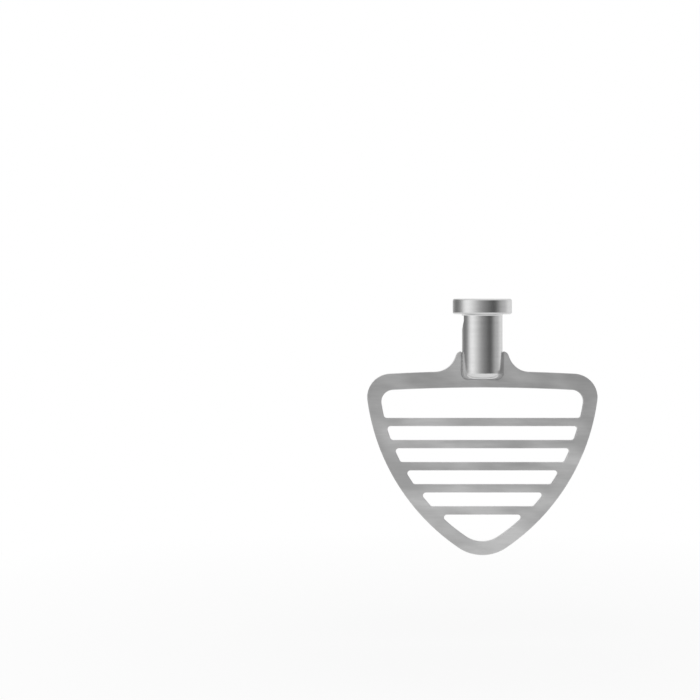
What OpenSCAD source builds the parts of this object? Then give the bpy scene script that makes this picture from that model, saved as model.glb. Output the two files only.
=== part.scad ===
// Pastry beater in stainless steel, in millimetres with +Z up.
// The origin is the mouth of the hub's bore, in the middle of the collar's top face.
// The blade hangs below it in the XZ plane, and its front face looks towards -Y.
// A turned hub stands in the U-shaped notch of a flat slotted blade, and one weld seam
// fills the space between the two, all round the notch and through the blade's thickness.

/* [Hub] */
// Outside diameter of the hub's tube
hub_d = 23.8; // [20:0.1:32]
// Length of the hub from the collar's top face to the closed lower end
hub_len = 47; // [45:0.5:60]
// Outside diameter of the collar
collar_d = 34.8; // [30:0.1:45]
// Height of the collar
collar_h = 9.1; // [5:0.1:12]
// Rounding of the collar's upper and lower edges
collar_edge_r = 1.2; // [0.3:0.1:2]
// Fillet where the tube runs into the collar
collar_fillet_r = 0.8; // [0.3:0.1:2]
// Rounding of the closed lower end
end_r = 3.6; // [1:0.1:5]

/* [Bore] */
// Diameter of the bore
bore_d = 12.9; // [10:0.1:14]
// Depth of the bore's straight wall
bore_depth = 38; // [25:0.5:40]
// Full angle of the drilled bottom
drill_angle = 118; // [90:1:150]
// Chamfer round the bore's mouth
mouth_chamfer = 0.5; // [0.2:0.1:1.5]

/* [Bayonet slot] */
// Width of the bayonet slot
bayonet_w = 5.4; // [3:0.1:7]
// Wall left outside the slot where it runs up inside the collar
channel_wall = 1; // [0.5:0.1:1.5]
// Angle of the entry channel, counter-clockwise from +X seen from above
entry_angle = 155; // [140:1:170]
// Turn from the entry channel to the seat
twist = 32.5; // [20:0.5:40]
// Height of the window where the slot runs through the tube's wall
window_h = 7.5; // [6:0.1:12]
// Height of the ramp at the seat's end of the window
ramp_h = 4.3; // [2:0.1:5]
// Rise of the seat above the window, inside the collar
seat_rise = 2.6; // [0.5:0.1:4]

/* [Blade] */
// Width of the blade at its widest
blade_w = 135.4; // [120:0.1:160]
// Height of the blade from its tip to the middle of its top edge
blade_h = 108.1; // [104:0.1:125]
// Distance that the hub reaches down into the blade, below the middle of the top edge
hub_sink = 4.4; // [2:0.1:7]
// Thickness of the sheet
blade_t = 3; // [2:0.1:5]
// Radius of the gently arched top edge
crown_r = 1000; // [600:10:2000]
// Radius of the two upper corners
corner_r = 14; // [10:0.5:20]
// Radius of the long curved sides
side_r = 125; // [115:1:150]
// Radius of the rounded tip
tip_r = 25; // [15:0.5:32]

/* [Ears] */
// Height of the ears above the middle of the blade's top edge
ear_h = 11.7; // [8:0.1:15]
// Rounding of the ears' outer corners
ear_r = 3.4; // [2:0.1:3.8]
// Lean of the ears' outer edges from the vertical
ear_lean = 21; // [10:1:30]
// Distance from the hub's tube to where the ears run out into the top edge
ear_spread = 16.1; // [14:0.1:19]
// Fillet between the ears and the top edge
ear_fillet_r = 12.9; // [8:0.1:14]

/* [Slots] */
// Width of the frame left between the sides and the slots
frame_w = 8; // [6:0.1:10]
// Height of the band left between the top edge and the first slot
top_band = 9.6; // [7:0.1:12]
// Number of cross bars
bars = 5; // [3:1:5]
// Height of each cross bar
bar_h = 4.8; // [3:0.1:6]
// Height of each slot between two bars
slot_h = 8.2; // [6:0.1:9]
// Height of the first slot in the middle
first_slot_h = 17.9; // [14:0.1:22]
// Rounding of the first slot's upper corners
first_corner_r = 7; // [4:0.1:9]
// Rounding of all other slot corners
slot_corner_r = 1.8; // [0.8:0.1:2.4]

/* [Weld] */
// Width of the seam between the hub and the notch
seam_w = 0.5; // [0.2:0.1:1.5]
// Height of the seam above each face of the blade
seam_crown = 0.3; // [0.1:0.1:0.8]
// Drop of the seam's ends below the ears' tops
seam_drop = 0.6; // [0.2:0.1:2]

/* [Hidden] */
$fn = 96;
chord_gap = 0.02;
eps = 0.01;
hub_r = hub_d / 2;
collar_r = collar_d / 2;
bore_r = bore_d / 2;
half_w = blade_w / 2;
crown_z = hub_sink - hub_len;
tip_z = crown_z - blade_h;
ear_z = crown_z + ear_h;
bar_z = crown_z - top_band - first_slot_h;
pitch = bar_h + slot_h;
ear_root = hub_r + ear_spread;

// The window starts where the collar's fillet ends.
window_top = -collar_h - collar_fillet_r;
window_low = window_top - window_h;
ramp_z = window_low + ramp_h;

// Centres of the outline's arcs, each tangent to the next one.
crown_c = [0, crown_z - crown_r];
corner_x = half_w - corner_r;
corner_c = [corner_x, crown_c[1] + sqrt(pow(crown_r - corner_r, 2) - pow(corner_x, 2))];
tip_c = [0, tip_z + tip_r];
side_c = meet(tip_c, side_r - tip_r, corner_c, side_r - corner_r, 1);
ear_c = [ear_root, crown_c[1] + sqrt(pow(crown_r + ear_fillet_r, 2) - pow(ear_root, 2))];

// The ear's edge leaves the fillet at this point and runs straight up to the rounded tip.
lean = [cos(ear_lean), sin(ear_lean)];
ear_foot = ear_c - ear_fillet_r * lean;
ear_tip_x = ear_foot[0] - (ear_r + lean[1] * (ear_z - ear_r - ear_foot[1])) / lean[0];
ear_tip_c = [ear_tip_x, ear_z - ear_r];

// Radii of the slots' ends.
inner_r = side_r - frame_w;
inner_tip_r = tip_r - frame_w;
inner_crown_r = crown_r - top_band;

// Where two circles meet, on the left (1) or on the right (-1) of the line from a to b.
function meet(a, ra, b, rb, side) =
    let (d = norm(b - a), u = (b - a) / d, s = (ra * ra - rb * rb + d * d) / (2 * d))
    let (h = sqrt(max(0, ra * ra - s * s)))
    a + s * u + side * h * [-u[1], u[0]];

// Direction in which the point b lies from the point a, in degrees.
function dir(a, b) = atan2(b[1] - a[1], b[0] - a[0]);

// Where a line at height z cuts the circle round c, on its +X side.
function across(c, r, z) = c[0] + sqrt(r * r - pow(z - c[1], 2));

// Points of an arc after its first one, so close that no chord leaves it by more than
// chord_gap.
function arc(c, r, from, to) =
    let (n = ceil(abs(to - from) / (2 * acos(1 - chord_gap / r))))
    [for (i = [1:n]) let (a = from + (to - from) * i / n) c + r * [cos(a), sin(a)]];

// An outline that starts and ends on the axis, closed by its own mirror image.
function both(p) =
    concat(p, [for (i = [len(p) - 1:-1:0]) if (p[i][0] > eps) [-p[i][0], p[i][1]]]);

// The part of a disc that lies on the right of the chord from p to q.
module cap(p, q, c, r) {
    u = (q - p) / norm(q - p);
    n = [u[1], -u[0]];
    intersection() {
        translate(c) circle(r);
        polygon([p, q, q + r * n, p + r * n]);
    }
}

// Sheet shapes are drawn in XZ and stand upright, centred on the plane y = 0.
module sheet(t) {
    rotate([90, 0, 0]) translate([0, 0, -t / 2]) linear_extrude(t) children();
}

// Hub

// Outlines run counter-clockwise, with a cap for each round stretch.
module hub_outline() {
    e = collar_edge_r;
    f = collar_fillet_r;
    foot = f + hub_r;
    p = [[0, -hub_len], [hub_r - end_r, -hub_len], [hub_r, end_r - hub_len],
        [hub_r, -collar_h - f], [foot, -collar_h], [collar_r - e, -collar_h],
        [collar_r, e - collar_h], [collar_r, -e], [collar_r - e, 0], [0, 0]];
    difference() {
        union() {
            polygon(p);
            cap(p[1], p[2], [hub_r - end_r, end_r - hub_len], end_r);
            cap(p[5], p[6], [collar_r - e, e - collar_h], e);
            cap(p[7], p[8], [collar_r - e, -e], e);
        }
        cap(p[4], p[3], [foot, -collar_h - f], f);
    }
}

module bore_outline() {
    cone = bore_r / tan(drill_angle / 2);
    polygon([[0, -bore_depth - cone], [bore_r, -bore_depth], [bore_r, -mouth_chamfer],
        [bore_r + mouth_chamfer + eps, eps], [0, eps]]);
}

// Slot that runs down inside the collar, turns and rises again to a seat. Below the collar
// it is open through the tube's wall, as a window with a ramp at the seat's end.
module bayonet() {
    half = bayonet_w / 2;
    out = hub_r + 2;
    reach = hub_r - channel_wall;
    rotate([0, 0, entry_angle]) {
        translate([0, -half, window_low]) cube([reach, bayonet_w, -window_low + 1]);
        translate([0, -half, window_low]) cube([out, bayonet_w, window_h]);
        translate([0, 0, window_low]) linear_extrude(window_h)
            polygon([[0, 0], [out, 0], out * [cos(0.9 * twist), sin(0.9 * twist)]]);
    }
    rotate([0, 0, entry_angle + twist]) {
        rotate([90, 0, 90]) linear_extrude(out)
            polygon([[-half, window_low], [0, window_low], [half, ramp_z], [half, window_top],
                [-half, window_top]]);
        translate([0, -half, ramp_z]) cube([reach, bayonet_w, window_top + seat_rise - ramp_z]);
    }
}

module hub() {
    color([0.78, 0.78, 0.8])
    difference() {
        rotate_extrude() hub_outline();
        rotate_extrude() bore_outline();
        bayonet();
    }
}

// Blade

// Half of the blade's outer shape, on the +X side of the axis.
function half_shape() = concat(
    [[0, tip_z]],
    arc(tip_c, tip_r, -90, dir(side_c, tip_c)),
    arc(side_c, side_r, dir(side_c, tip_c), dir(side_c, corner_c)),
    arc(corner_c, corner_r, dir(side_c, corner_c), dir(crown_c, corner_c)),
    arc(crown_c, crown_r, dir(crown_c, corner_c), dir(crown_c, ear_c)),
    arc(ear_c, ear_fillet_r, dir(ear_c, crown_c), ear_lean - 180),
    [ear_tip_c + ear_r * lean],
    arc(ear_tip_c, ear_r, ear_lean, 90),
    [[0, ear_z]]);

// Half of the U that follows the hub's outline at the width of the seam, up to the height top.
function half_notch(top) =
    let (r = end_r + seam_w, w = hub_r + seam_w, low = -hub_len - seam_w)
    concat([[0, low], [w - r, low]], arc([w - r, low + r], r, -90, 0), [[w, top], [0, top]]);

// Half of the slot above the bar number i, with its end following the frame's curve. The
// first slot has an arched top edge, and the last one has a rounded tip in place of a bar.
function half_slot(i) =
    let (last = bars, r = slot_corner_r, low = bar_z - i * pitch, top = low + slot_h)
    let (a = [across(side_c, inner_r - r, top - r), top - r])
    let (b = [across(side_c, inner_r - r, low + r), low + r])
    let (k = first_corner_r)
    let (c = meet(side_c, inner_r - k, crown_c, inner_crown_r - k, 1))
    let (foot = i < last
        ? concat([[0, low], [b[0], low]], arc(b, r, -90, dir(side_c, b)))
        : concat([[0, tip_c[1] - inner_tip_r]], arc(tip_c, inner_tip_r, -90, dir(side_c, tip_c))))
    let (from = dir(side_c, i < last ? b : tip_c), to = dir(side_c, i > 0 ? a : c))
    let (head = i > 0
        ? concat(arc(a, r, to, 90), [[0, top]])
        : concat(arc(c, k, to, dir(crown_c, c)), arc(crown_c, inner_crown_r, dir(crown_c, c), 90)))
    concat(foot, arc(side_c, inner_r, from, to), head);

module blade() {
    color([0.72, 0.72, 0.73])
    sheet(blade_t) difference() {
        polygon(both(half_shape()));
        polygon(both(half_notch(ear_z + seam_w)));
        for (i = [0:bars]) polygon(both(half_slot(i)));
    }
}

// Weld

module weld() {
    color([0.66, 0.65, 0.64])
    difference() {
        sheet(blade_t + 2 * seam_crown) polygon(both(half_notch(ear_z - seam_drop)));
        rotate_extrude() hub_outline();
    }
}

hub();
blade();
weld();
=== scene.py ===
from math import radians

import bmesh
import bpy
from bpy.props import FloatProperty, FloatVectorProperty, PointerProperty
from bpy.types import Operator, Panel, PropertyGroup
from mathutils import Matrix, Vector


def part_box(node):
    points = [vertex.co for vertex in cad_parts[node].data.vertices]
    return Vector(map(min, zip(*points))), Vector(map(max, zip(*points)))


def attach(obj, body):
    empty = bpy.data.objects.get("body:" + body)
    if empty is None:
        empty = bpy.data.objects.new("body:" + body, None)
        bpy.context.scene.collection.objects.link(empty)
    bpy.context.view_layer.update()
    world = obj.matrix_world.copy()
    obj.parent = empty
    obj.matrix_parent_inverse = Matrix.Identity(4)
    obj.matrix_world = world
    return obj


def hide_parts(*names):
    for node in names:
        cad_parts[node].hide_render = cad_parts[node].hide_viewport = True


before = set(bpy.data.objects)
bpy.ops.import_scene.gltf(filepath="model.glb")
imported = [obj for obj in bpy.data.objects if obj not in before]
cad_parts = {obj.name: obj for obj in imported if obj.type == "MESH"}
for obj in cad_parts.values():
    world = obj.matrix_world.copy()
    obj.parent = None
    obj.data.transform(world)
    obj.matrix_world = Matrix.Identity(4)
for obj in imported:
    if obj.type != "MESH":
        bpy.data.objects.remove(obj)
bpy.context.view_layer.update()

# A welded pastry beater: a turned hub with a collar, a flat slotted blade and the weld seam
# that joins them. Lengths are in metres, +Z is up and the blade's front looks towards -Y.

bl_info = {
    "name": "Pastry Beater",
    "version": (1, 0, 0),
    "blender": (4, 5, 0),
    "location": "View3D > Sidebar > Beater",
    "description": "Dresses a welded steel pastry beater and sets it in a plain studio",
    "category": "Object",
}

MM = 0.001
MERGE_DISTANCE = 0.001 * MM
FLAT_ANGLE = radians(0.4)
SHARP_ANGLE = radians(32)

BLADE_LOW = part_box("blade")[0]


# Settings

class HubSettings(PropertyGroup):
    """Finish of the turned hub."""

    edge_round: FloatProperty(
        name="Edge Rounding", description="Rounding of the bore's and the slot's edges",
        default=0.2 * MM, min=0.02 * MM, max=0.5 * MM, precision=5, unit="LENGTH")
    color: FloatVectorProperty(
        name="Steel", description="Colour of the polished steel",
        subtype="COLOR", size=3, min=0, max=1, default=(0.66, 0.66, 0.66))
    roughness: FloatProperty(
        name="Roughness", description="Roughness of the fine turned finish",
        subtype="FACTOR", min=0, max=1, default=0.19)


class BladeSettings(PropertyGroup):
    """Finish of the flat blade."""

    edge_round: FloatProperty(
        name="Edge Rounding", description="Rounding of the sheet's tumbled edges",
        default=0.35 * MM, min=0.02 * MM, max=0.8 * MM, precision=5, unit="LENGTH")
    color: FloatVectorProperty(
        name="Steel", description="Colour of the brushed sheet",
        subtype="COLOR", size=3, min=0, max=1, default=(0.64, 0.64, 0.64))
    roughness: FloatProperty(
        name="Roughness", description="Roughness of the brushed sheet",
        subtype="FACTOR", min=0, max=1, default=0.4)


class WeldSettings(PropertyGroup):
    """Finish of the weld seam."""

    edge_round: FloatProperty(
        name="Edge Rounding", description="Rounding of the seam's edges",
        default=0.12 * MM, min=0.02 * MM, max=0.2 * MM, precision=5, unit="LENGTH")
    color: FloatVectorProperty(
        name="Steel", description="Colour of the weld's metal",
        subtype="COLOR", size=3, min=0, max=1, default=(0.5, 0.5, 0.5))
    roughness: FloatProperty(
        name="Roughness", description="Roughness of the ground seam",
        subtype="FACTOR", min=0, max=1, default=0.45)


class StageSettings(PropertyGroup):
    """Studio round the beater."""

    camera_distance: FloatProperty(
        name="Camera Distance", description="Distance from the camera to the blade's plane",
        default=1.05, min=0.3, max=5, unit="LENGTH")
    camera_left: FloatProperty(
        name="Camera Left", description="How far the camera stands to the left of the hub's axis",
        default=77.8 * MM, min=0, max=1, unit="LENGTH")
    camera_height: FloatProperty(
        name="Camera Height", description="Height of the camera above the collar's top face",
        default=2.2 * MM, min=-1, max=1, unit="LENGTH")
    view_width: FloatProperty(
        name="View Width", description="Width of the picture at the blade's plane",
        default=411.8 * MM, min=0.1, max=2, unit="LENGTH")
    floor_drop: FloatProperty(
        name="Floor Drop", description="Height at which the beater hangs above the floor",
        default=52 * MM, min=0, max=1, unit="LENGTH")
    floor_radius: FloatProperty(
        name="Floor Radius", description="Radius of the round floor",
        default=1.3, min=0.3, max=10, unit="LENGTH")
    brightness: FloatProperty(
        name="Studio Brightness", description="Brightness of the studio's brightest wall",
        default=1.3, min=0, max=5)


# Meshes

def merged_copy(node):
    """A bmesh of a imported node, with its loose triangles joined into whole flat faces."""
    bm = bmesh.new()
    bm.from_mesh(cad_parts[node].data)
    bmesh.ops.remove_doubles(bm, verts=bm.verts, dist=MERGE_DISTANCE)
    bmesh.ops.dissolve_limit(bm, angle_limit=FLAT_ANGLE, verts=bm.verts, edges=bm.edges)
    return bm


def sharp_edges(bm):
    """The edges where two faces meet at a clear corner."""
    return [e for e in bm.edges if e.is_manifold and e.calc_face_angle(0) > SHARP_ANGLE]


def round_edges(bm, radius, segments=3):
    """Rounds every sharp edge."""
    bmesh.ops.bevel(
        bm, geom=sharp_edges(bm), offset=radius, offset_type="OFFSET", segments=segments,
        profile=0.5, affect="EDGES", clamp_overlap=True, material=-1)


def add_piece(name, bm, material, node):
    """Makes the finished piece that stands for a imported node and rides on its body."""
    mesh = bpy.data.meshes.new(name)
    bm.to_mesh(mesh)
    bm.free()
    mesh.shade_smooth()
    mesh.set_sharp_from_angle(angle=SHARP_ANGLE)
    mesh.materials.append(material)
    piece = bpy.data.objects.new(name, mesh)
    bpy.context.scene.collection.objects.link(piece)
    weighted = piece.modifiers.new("Even Shading", "WEIGHTED_NORMAL")
    weighted.keep_sharp = True
    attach(piece, "root")
    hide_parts(node)
    return piece


# Shader building

def add_node(tree, kind, inputs=None, **settings):
    """Adds a shader node, sets its properties, and sets or links its named inputs."""
    made = tree.nodes.new(kind)
    for key, value in settings.items():
        setattr(made, key, value)
    for key, value in (inputs or {}).items():
        if isinstance(value, bpy.types.NodeSocket):
            tree.links.new(value, made.inputs[key])
        else:
            made.inputs[key].default_value = value
    return made


def math_node(tree, operation, a, b=0.0, clamp=False):
    """Output of a Math node."""
    return add_node(tree, "ShaderNodeMath", {0: a, 1: b}, operation=operation,
                    use_clamp=clamp).outputs[0]


def map_range(tree, value, low, high, to_low, to_high):
    """Output of a Map Range node, clamped to its two ends."""
    return add_node(tree, "ShaderNodeMapRange", {
        "Value": value, "From Min": low, "From Max": high,
        "To Min": to_low, "To Max": to_high}).outputs["Result"]


def noise(tree, vector, detail=2.0, roughness=0.5):
    """Output of a Noise Texture at the scale that its vector gives."""
    return add_node(tree, "ShaderNodeTexNoise", {
        "Vector": vector, "Scale": 1.0, "Detail": detail,
        "Roughness": roughness}).outputs["Fac"]


def stretched(tree, per_metre, offset=(0.0, 0.0, 0.0)):
    """Object coordinates times a number of repeats per metre along each axis."""
    place = add_node(tree, "ShaderNodeTexCoord").outputs["Object"]
    return add_node(tree, "ShaderNodeMapping", {
        "Vector": place, "Scale": per_metre, "Location": offset}).outputs["Vector"]


def new_group(name, inputs, outputs):
    """A node group with float inputs, given as name and default, and float outputs."""
    tree = bpy.data.node_groups.new(name, "ShaderNodeTree")
    for label, default in inputs:
        socket = tree.interface.new_socket(label, in_out="INPUT", socket_type="NodeSocketFloat")
        socket.default_value = default
    for label in outputs:
        tree.interface.new_socket(label, in_out="OUTPUT", socket_type="NodeSocketFloat")
    return tree, tree.nodes.new("NodeGroupInput"), tree.nodes.new("NodeGroupOutput")


def place_group(tree, group, **values):
    """Places a node group in a material with its own values."""
    made = add_node(tree, "ShaderNodeGroup", node_tree=group)
    for key, value in values.items():
        made.inputs[key.replace("_", " ").title()].default_value = value
    return made


def brushed_grain_group():
    """Level brushing: long fine scratches and broader streaks, both from 0 to 1."""
    name = "Brushed Grain"
    if name in bpy.data.node_groups:
        return bpy.data.node_groups[name]
    tree, _, out = new_group(name, [], ["Fine", "Streaks"])
    fine = noise(tree, stretched(tree, (150.0, 9000.0, 9000.0)), detail=2.0, roughness=0.6)
    streaks = noise(tree, stretched(tree, (70.0, 900.0, 900.0), (7.0, 0.0, 3.0)), detail=3.0,
                    roughness=0.65)
    tree.links.new(fine, out.inputs["Fine"])
    tree.links.new(streaks, out.inputs["Streaks"])
    return tree


def turned_rings_group():
    """Fine rings round the +Z axis, on walls and on end faces alike, from 0 to 1."""
    name = "Turned Rings"
    if name in bpy.data.node_groups:
        return bpy.data.node_groups[name]
    tree, _, out = new_group(name, [], ["Fine", "Bands"])
    place = add_node(tree, "ShaderNodeTexCoord").outputs["Object"]
    parts = add_node(tree, "ShaderNodeSeparateXYZ", {"Vector": place})
    flat = add_node(tree, "ShaderNodeCombineXYZ", {
        "X": parts.outputs["X"], "Y": parts.outputs["Y"]}).outputs["Vector"]
    out_from_axis = add_node(tree, "ShaderNodeVectorMath", {0: flat},
                             operation="LENGTH").outputs["Value"]
    along = math_node(tree, "SUBTRACT", parts.outputs["Z"], out_from_axis)
    ring = add_node(tree, "ShaderNodeCombineXYZ", {
        "X": parts.outputs["X"], "Y": parts.outputs["Y"], "Z": along}).outputs["Vector"]
    for label, per_metre in (("Fine", (60.0, 60.0, 7000.0)), ("Bands", (40.0, 40.0, 900.0))):
        scaled = add_node(tree, "ShaderNodeVectorMath", {0: ring, 1: per_metre},
                          operation="MULTIPLY").outputs["Vector"]
        tree.links.new(noise(tree, scaled, detail=2.0, roughness=0.6), out.inputs[label])
    return tree


def soft_clouds_group():
    """Broad soft clouds from 0 to 1; on the blade they paint reflection into the colour, elsewhere
    they vary roughness and tone.
    """
    name = "Soft Clouds"
    if name in bpy.data.node_groups:
        return bpy.data.node_groups[name]
    tree, given, out = new_group(name, [("Per Metre", 40.0), ("Stretch", 2.5), ("Lean", 0.35)],
                                 ["Clouds"])
    place = add_node(tree, "ShaderNodeTexCoord").outputs["Object"]
    scaled = add_node(tree, "ShaderNodeVectorMath", {
        0: place, "Scale": given.outputs["Per Metre"]}, operation="SCALE").outputs["Vector"]
    parts = add_node(tree, "ShaderNodeSeparateXYZ", {"Vector": scaled})
    lean = math_node(tree, "MULTIPLY", parts.outputs["Z"], given.outputs["Lean"])
    side = math_node(tree, "ADD", parts.outputs["X"], lean)
    across = math_node(tree, "DIVIDE", side, given.outputs["Stretch"])
    patch = add_node(tree, "ShaderNodeCombineXYZ", {
        "X": across, "Y": parts.outputs["Y"], "Z": parts.outputs["Z"]}).outputs["Vector"]
    tree.links.new(noise(tree, patch, detail=3.0, roughness=0.55), out.inputs["Clouds"])
    return tree


# Materials

def new_material(name):
    """A material with one Principled BSDF, returned with its tree and that shader."""
    material = bpy.data.materials.new(name)
    material.use_nodes = True
    tree = material.node_tree
    tree.nodes.clear()
    shader = add_node(tree, "ShaderNodeBsdfPrincipled", {"Metallic": 1.0})
    out = tree.nodes.new("ShaderNodeOutputMaterial")
    tree.links.new(shader.outputs["BSDF"], out.inputs["Surface"])
    return material, tree, shader


def toned(tree, color, light):
    """A plain colour made lighter or darker by a factor that changes over the surface."""
    return add_node(tree, "ShaderNodeVectorMath", {0: color, "Scale": light},
                    operation="SCALE").outputs["Vector"]


def bump(tree, height, distance):
    """Normal of a Bump node with a full strength and the given depth in metres."""
    return add_node(tree, "ShaderNodeBump", {
        "Height": height, "Strength": 1.0, "Distance": distance}).outputs["Normal"]


def hub_steel(settings):
    """Stainless steel turned on a lathe and polished fine."""
    material, tree, shader = new_material("hub_steel")
    rings = place_group(tree, turned_rings_group())
    clouds = place_group(tree, soft_clouds_group(), per_metre=90.0, stretch=1.0, lean=0.0)
    light = map_range(tree, rings.outputs["Bands"], 0.3, 0.7, 0.96, 1.03)
    tree.links.new(toned(tree, settings.color, light), shader.inputs["Base Color"])
    rough = map_range(tree, clouds.outputs["Clouds"], 0.3, 0.7,
                      settings.roughness * 0.9, settings.roughness * 1.1)
    tree.links.new(rough, shader.inputs["Roughness"])
    tree.links.new(bump(tree, rings.outputs["Fine"], 0.0006 * MM), shader.inputs["Normal"])
    shader.inputs["Anisotropic"].default_value = 0.7
    tangent = add_node(tree, "ShaderNodeTangent", direction_type="RADIAL", axis="Z")
    tree.links.new(tangent.outputs["Tangent"], shader.inputs["Tangent"])
    return material


def blade_steel(settings):
    """Stainless sheet, brushed level from side to side, with painted reflection in its colour."""
    material, tree, shader = new_material("blade_steel")
    grain = place_group(tree, brushed_grain_group())
    # The broad diagonal clouds that lighten and darken the sheet's colour are painted reflection.
    # They stand in for the bright and dark streaks that the brushed finish mirrors, with some real
    # tone variation.
    clouds = place_group(tree, soft_clouds_group(), per_metre=45.0, stretch=2.2, lean=0.6)
    tone_and_painted_reflection = map_range(tree, clouds.outputs["Clouds"], 0.36, 0.66, 0.78, 1.12)
    streaks = map_range(tree, grain.outputs["Streaks"], 0.25, 0.75, 0.94, 1.05)
    light = math_node(tree, "MULTIPLY", tone_and_painted_reflection, streaks)
    tree.links.new(toned(tree, settings.color, light), shader.inputs["Base Color"])
    rough = map_range(tree, grain.outputs["Streaks"], 0.25, 0.75,
                      settings.roughness * 0.9, settings.roughness * 1.1)
    tree.links.new(rough, shader.inputs["Roughness"])
    tree.links.new(bump(tree, grain.outputs["Fine"], 0.0012 * MM), shader.inputs["Normal"])
    return material


def weld_steel(settings):
    """Weld metal, ground back and dulled by the heat."""
    material, tree, shader = new_material("weld_steel")
    clouds = place_group(tree, soft_clouds_group(), per_metre=900.0, stretch=1.0, lean=0.0)
    light = map_range(tree, clouds.outputs["Clouds"], 0.3, 0.7, 0.85, 1.1)
    tree.links.new(toned(tree, settings.color, light), shader.inputs["Base Color"])
    shader.inputs["Roughness"].default_value = settings.roughness
    tree.links.new(bump(tree, clouds.outputs["Clouds"], 0.03 * MM), shader.inputs["Normal"])
    return material


# Pieces

class BEATER_OT_hub(Operator):
    """Make the turned hub with its collar, bore and bayonet slot"""

    bl_idname = "beater.hub"
    bl_label = "Hub"

    def execute(self, context):
        settings = context.scene.beater_hub
        bm = merged_copy("hub")
        round_edges(bm, settings.edge_round, segments=2)
        add_piece("turned_hub", bm, hub_steel(settings), "hub")
        return {"FINISHED"}


class BEATER_OT_blade(Operator):
    """Make the flat blade with its ears, bars and slots"""

    bl_idname = "beater.blade"
    bl_label = "Blade"

    def execute(self, context):
        settings = context.scene.beater_blade
        bm = merged_copy("blade")
        round_edges(bm, settings.edge_round)
        add_piece("slotted_blade", bm, blade_steel(settings), "blade")
        return {"FINISHED"}


class BEATER_OT_weld(Operator):
    """Make the weld seam round the blade's notch"""

    bl_idname = "beater.weld"
    bl_label = "Weld Seam"

    def execute(self, context):
        settings = context.scene.beater_weld
        bm = merged_copy("weld")
        round_edges(bm, settings.edge_round, segments=2)
        add_piece("weld_seam", bm, weld_steel(settings), "weld")
        return {"FINISHED"}


# Stage

# Brightness of the studio's walls round the beater, by the angle from the camera's side,
# counted towards +X: a wide window of light at the left front, dark at the right front.
STUDIO_RING = (
    (-180, 0.80), (-158, 0.52), (-126, 0.22), (-104, 0.32), (-92, 0.55), (-80, 1.0),
    (-68, 1.25), (-52, 1.13), (-34, 0.83), (-16, 0.53), (0, 0.35), (18, 0.24),
    (36, 0.125), (47, 0.13), (60, 0.31), (74, 0.55), (97, 0.67), (116, 1.0), (180, 0.80))
CEILING_LIGHT = 0.95
# Share of the view along +Y from which the steel mirrors the white backdrop.
BACKDROP_REACH = (0.93, 0.99)
# Rise of the view at which the walls begin to turn into the ceiling, and end.
CEILING_REACH = (0.35, 0.75)
# The floor keeps a fifth of its shadow near the beater, and is plain white further out.
SHADOW_REACH = (0.1, 0.5)
SHADOW_SHARES = (0.8, 1.0)
# Downward shift of the picture, as a share of its width.
LENS_SHIFT = -0.0786


def studio_world(settings):
    """A white studio whose walls show in the steel, and which the camera sees as plain white."""
    world = bpy.data.worlds.new("studio")
    world.use_nodes = True
    tree = world.node_tree
    tree.nodes.clear()
    look = add_node(tree, "ShaderNodeTexCoord").outputs["Generated"]
    parts = add_node(tree, "ShaderNodeSeparateXYZ", {"Vector": look})
    forward = math_node(tree, "MULTIPLY", parts.outputs["Y"], -1.0)
    turn = math_node(tree, "ARCTAN2", parts.outputs["X"], forward)
    place = map_range(tree, turn, radians(-180), radians(180), 0.0, 1.0)
    ramp = add_node(tree, "ShaderNodeValToRGB", {"Fac": place})
    stops = ramp.color_ramp.elements
    while len(stops) > 1:
        stops.remove(stops[-1])
    for index, (angle, light) in enumerate(STUDIO_RING):
        at = angle / 360 + 0.5
        stop = stops[0] if index == 0 else stops.new(at)
        stop.position = at
        stop.color = (*[light / settings.brightness] * 3, 1.0)
    up = map_range(tree, parts.outputs["Z"], *CEILING_REACH, 0.0, 1.0)
    ceiling = [CEILING_LIGHT / settings.brightness] * 3 + [1.0]
    walls = add_node(tree, "ShaderNodeMix", {
        "Factor": up, "A": ramp.outputs["Color"], "B": ceiling}, data_type="RGBA")
    lit = add_node(tree, "ShaderNodeBackground", {
        "Color": walls.outputs["Result"], "Strength": settings.brightness})
    white = add_node(tree, "ShaderNodeBackground", {"Color": (1, 1, 1, 1), "Strength": 1.0})
    path = add_node(tree, "ShaderNodeLightPath").outputs
    mirrored = math_node(tree, "MAXIMUM", path["Is Glossy Ray"], path["Is Transmission Ray"])
    behind = map_range(tree, parts.outputs["Y"], *BACKDROP_REACH, 0.0, 1.0)
    mirrored = math_node(tree, "MULTIPLY", mirrored, behind)
    seen = math_node(tree, "MAXIMUM", path["Is Camera Ray"], mirrored)
    mix = add_node(tree, "ShaderNodeMixShader", {
        0: seen, 1: lit.outputs[0], 2: white.outputs[0]})
    out = tree.nodes.new("ShaderNodeOutputWorld")
    tree.links.new(mix.outputs[0], out.inputs["Surface"])
    bpy.context.scene.world = world


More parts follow.
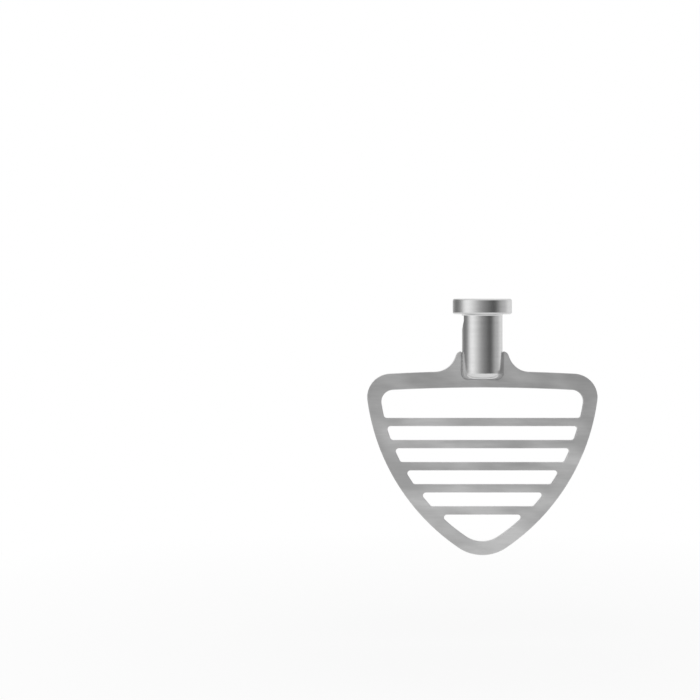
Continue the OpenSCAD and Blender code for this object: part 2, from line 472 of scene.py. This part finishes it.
def floor_white():
    """A white floor that keeps a faint shadow and can't be seen from below."""
    material = bpy.data.materials.new("floor_white")
    material.use_nodes = True
    tree = material.node_tree
    tree.nodes.clear()
    plain = add_node(tree, "ShaderNodeBsdfDiffuse", {"Color": (0.92, 0.92, 0.92, 1)})
    glow = add_node(tree, "ShaderNodeEmission", {"Color": (1, 1, 1, 1), "Strength": 1.0})
    path = add_node(tree, "ShaderNodeLightPath")
    seen = math_node(tree, "MAXIMUM", path.outputs["Is Camera Ray"], path.outputs["Is Glossy Ray"])
    seen = math_node(tree, "MAXIMUM", seen, path.outputs["Is Transmission Ray"])
    place = add_node(tree, "ShaderNodeTexCoord").outputs["Object"]
    parts = add_node(tree, "ShaderNodeSeparateXYZ", {"Vector": place})
    flat = add_node(tree, "ShaderNodeCombineXYZ", {
        "X": parts.outputs["X"], "Y": parts.outputs["Y"]}).outputs["Vector"]
    away = add_node(tree, "ShaderNodeVectorMath", {0: flat}, operation="LENGTH").outputs["Value"]
    share = map_range(tree, away, *SHADOW_REACH, *SHADOW_SHARES)
    mix = add_node(tree, "ShaderNodeMixShader", {
        0: math_node(tree, "MULTIPLY", seen, share), 1: plain.outputs[0], 2: glow.outputs[0]})
    clear = add_node(tree, "ShaderNodeBsdfTransparent")
    back = add_node(tree, "ShaderNodeNewGeometry").outputs["Backfacing"]
    side = add_node(tree, "ShaderNodeMixShader", {0: back, 1: mix.outputs[0], 2: clear.outputs[0]})
    out = tree.nodes.new("ShaderNodeOutputMaterial")
    tree.links.new(side.outputs[0], out.inputs["Surface"])
    return material


def add_floor(settings):
    """The round white floor under the hanging beater."""
    bm = bmesh.new()
    bmesh.ops.create_circle(bm, cap_ends=True, segments=96, radius=settings.floor_radius)
    bmesh.ops.translate(bm, verts=bm.verts, vec=(0, 0, BLADE_LOW.z - settings.floor_drop))
    mesh = bpy.data.meshes.new("floor")
    bm.to_mesh(mesh)
    bm.free()
    mesh.materials.append(floor_white())
    floor = bpy.data.objects.new("floor", mesh)
    bpy.context.scene.collection.objects.link(floor)


def add_camera(settings):
    """The camera looks level along +Y, from a little to the left of the hub's axis."""
    data = bpy.data.cameras.new("camera")
    data.lens = data.sensor_width * settings.camera_distance / settings.view_width
    data.shift_y = LENS_SHIFT
    camera = bpy.data.objects.new("camera", data)
    camera.location = (-settings.camera_left, -settings.camera_distance, settings.camera_height)
    camera.rotation_euler = (radians(90), 0, 0)
    bpy.context.scene.collection.objects.link(camera)
    bpy.context.scene.camera = camera


class BEATER_OT_stage(Operator):
    """Make the studio, the floor and the camera"""

    bl_idname = "beater.stage"
    bl_label = "Stage"

    def execute(self, context):
        settings = context.scene.beater_stage
        studio_world(settings)
        add_floor(settings)
        add_camera(settings)
        context.scene.view_settings.view_transform = "Standard"
        return {"FINISHED"}


# Panel

class BEATER_PT_pieces(Panel):
    """Lists the beater's pieces and their settings"""

    bl_label = "Pastry Beater"
    bl_space_type = "VIEW_3D"
    bl_region_type = "UI"
    bl_category = "Beater"

    def draw(self, context):
        for operator, group in PIECES:
            box = self.layout.box()
            box.operator(operator.bl_idname)
            settings = getattr(context.scene, group)
            for name in settings.bl_rna.properties.keys():
                if name not in {"rna_type", "name"}:
                    box.prop(settings, name)


PIECES = (
    (BEATER_OT_stage, "beater_stage"),
    (BEATER_OT_hub, "beater_hub"),
    (BEATER_OT_blade, "beater_blade"),
    (BEATER_OT_weld, "beater_weld"),
)
SETTINGS = {
    "beater_stage": StageSettings,
    "beater_hub": HubSettings,
    "beater_blade": BladeSettings,
    "beater_weld": WeldSettings,
}


def register():
    for name, group in SETTINGS.items():
        bpy.utils.register_class(group)
        setattr(bpy.types.Scene, name, PointerProperty(type=group))
    for operator, _ in PIECES:
        bpy.utils.register_class(operator)
    bpy.utils.register_class(BEATER_PT_pieces)


def unregister():
    bpy.utils.unregister_class(BEATER_PT_pieces)
    for operator, _ in PIECES:
        bpy.utils.unregister_class(operator)
    for name, group in SETTINGS.items():
        delattr(bpy.types.Scene, name)
        bpy.utils.unregister_class(group)


def main():
    register()
    bpy.ops.beater.stage()
    bpy.ops.beater.hub()
    bpy.ops.beater.blade()
    bpy.ops.beater.weld()


if __name__ == "__main__":
    main()
